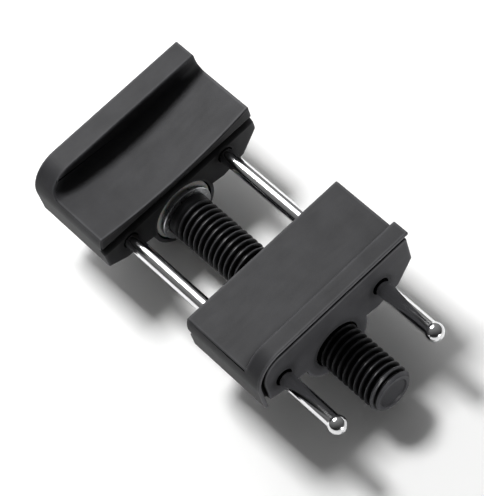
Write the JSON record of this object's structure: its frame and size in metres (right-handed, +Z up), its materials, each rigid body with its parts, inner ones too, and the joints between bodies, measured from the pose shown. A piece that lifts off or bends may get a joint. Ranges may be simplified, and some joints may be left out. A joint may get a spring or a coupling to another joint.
{
  "type": "honing guide",
  "caption": "Two-jaw clamping guide that holds a chisel or plane iron at a steady angle and rolls along a sharpening stone.",
  "frame": {"origin": "bottom centre of the whole guide, on the surface its rollers stand on", "axes": "+X along the guide pins towards the moving jaw and the pins' ball ends, +Y towards the clamped tool's handle, +Z up, square to the jaws' plates"},
  "size_m": [0.0888, 0.041, 0.0256],
  "materials": {
    "jaw_plastic": "black moulded plastic, satin with a fine spark-eroded grain",
    "screw_plastic": "black moulded plastic, slightly smoother than the jaws",
    "pin_chrome": "bright polished steel",
    "knob_metal": "turned and knurled, satin",
    "roller_steel": "ground steel with fine rings round the axis",
    "zinc_steel": "zinc-plated steel",
    "sleeve_brass": "turned brass",
    "washer_nylon": "natural nylon"
  },
  "bodies": {
    "fixed_jaw": {"left_jaw": "jaw_plastic", "front_guide_pin": "pin_chrome", "rear_guide_pin": "pin_chrome", "front_pin_lock_washer": "zinc_steel", "rear_pin_lock_washer": "zinc_steel", "left_roller_sleeve": "sleeve_brass", "left_roller_inner_washer": "washer_nylon", "left_roller_outer_washer": "washer_nylon", "knob_thrust_washer": "washer_nylon", "inner_thrust_washer": "washer_nylon"},
    "screw": {"clamp_screw": "screw_plastic", "clamp_knob": "knob_metal", "knob_cross_pin": "zinc_steel", "screw_retaining_ring": "zinc_steel"},
    "moving_jaw": {"right_jaw": "jaw_plastic", "threaded_sleeve": "sleeve_brass", "right_roller_inner_washer": "washer_nylon", "right_roller_outer_washer": "washer_nylon"},
    "left_wheel": {"left_roller": "roller_steel"},
    "right_wheel": {"right_roller": "roller_steel"}
  },
  "joints": [
    {"name": "screw_turn", "type": "hinge", "parent": "fixed_jaw", "child": "screw", "pos_m": [0, -0.001, 0.0088], "axis": [1, 0, 0], "range_deg": [-3010, 5770]},
    {"name": "jaw_slide", "type": "slide", "parent": "fixed_jaw", "child": "moving_jaw", "axis": [1, 0, 0], "range_m": [-0.024, 0.0125]},
    {"name": "left_roller_spin", "type": "hinge", "parent": "fixed_jaw", "child": "left_wheel", "pos_m": [-0.0274, -0.001, 0.0088], "axis": [1, 0, 0], "continuous": true},
    {"name": "right_roller_spin", "type": "hinge", "parent": "moving_jaw", "child": "right_wheel", "pos_m": [0.0178, -0.001, 0.0088], "axis": [1, 0, 0], "continuous": true}
  ],
  "couplings": [
    {"joint": "screw_turn", "follows": "jaw_slide", "rad_per_m": -4188.8}
  ]
}
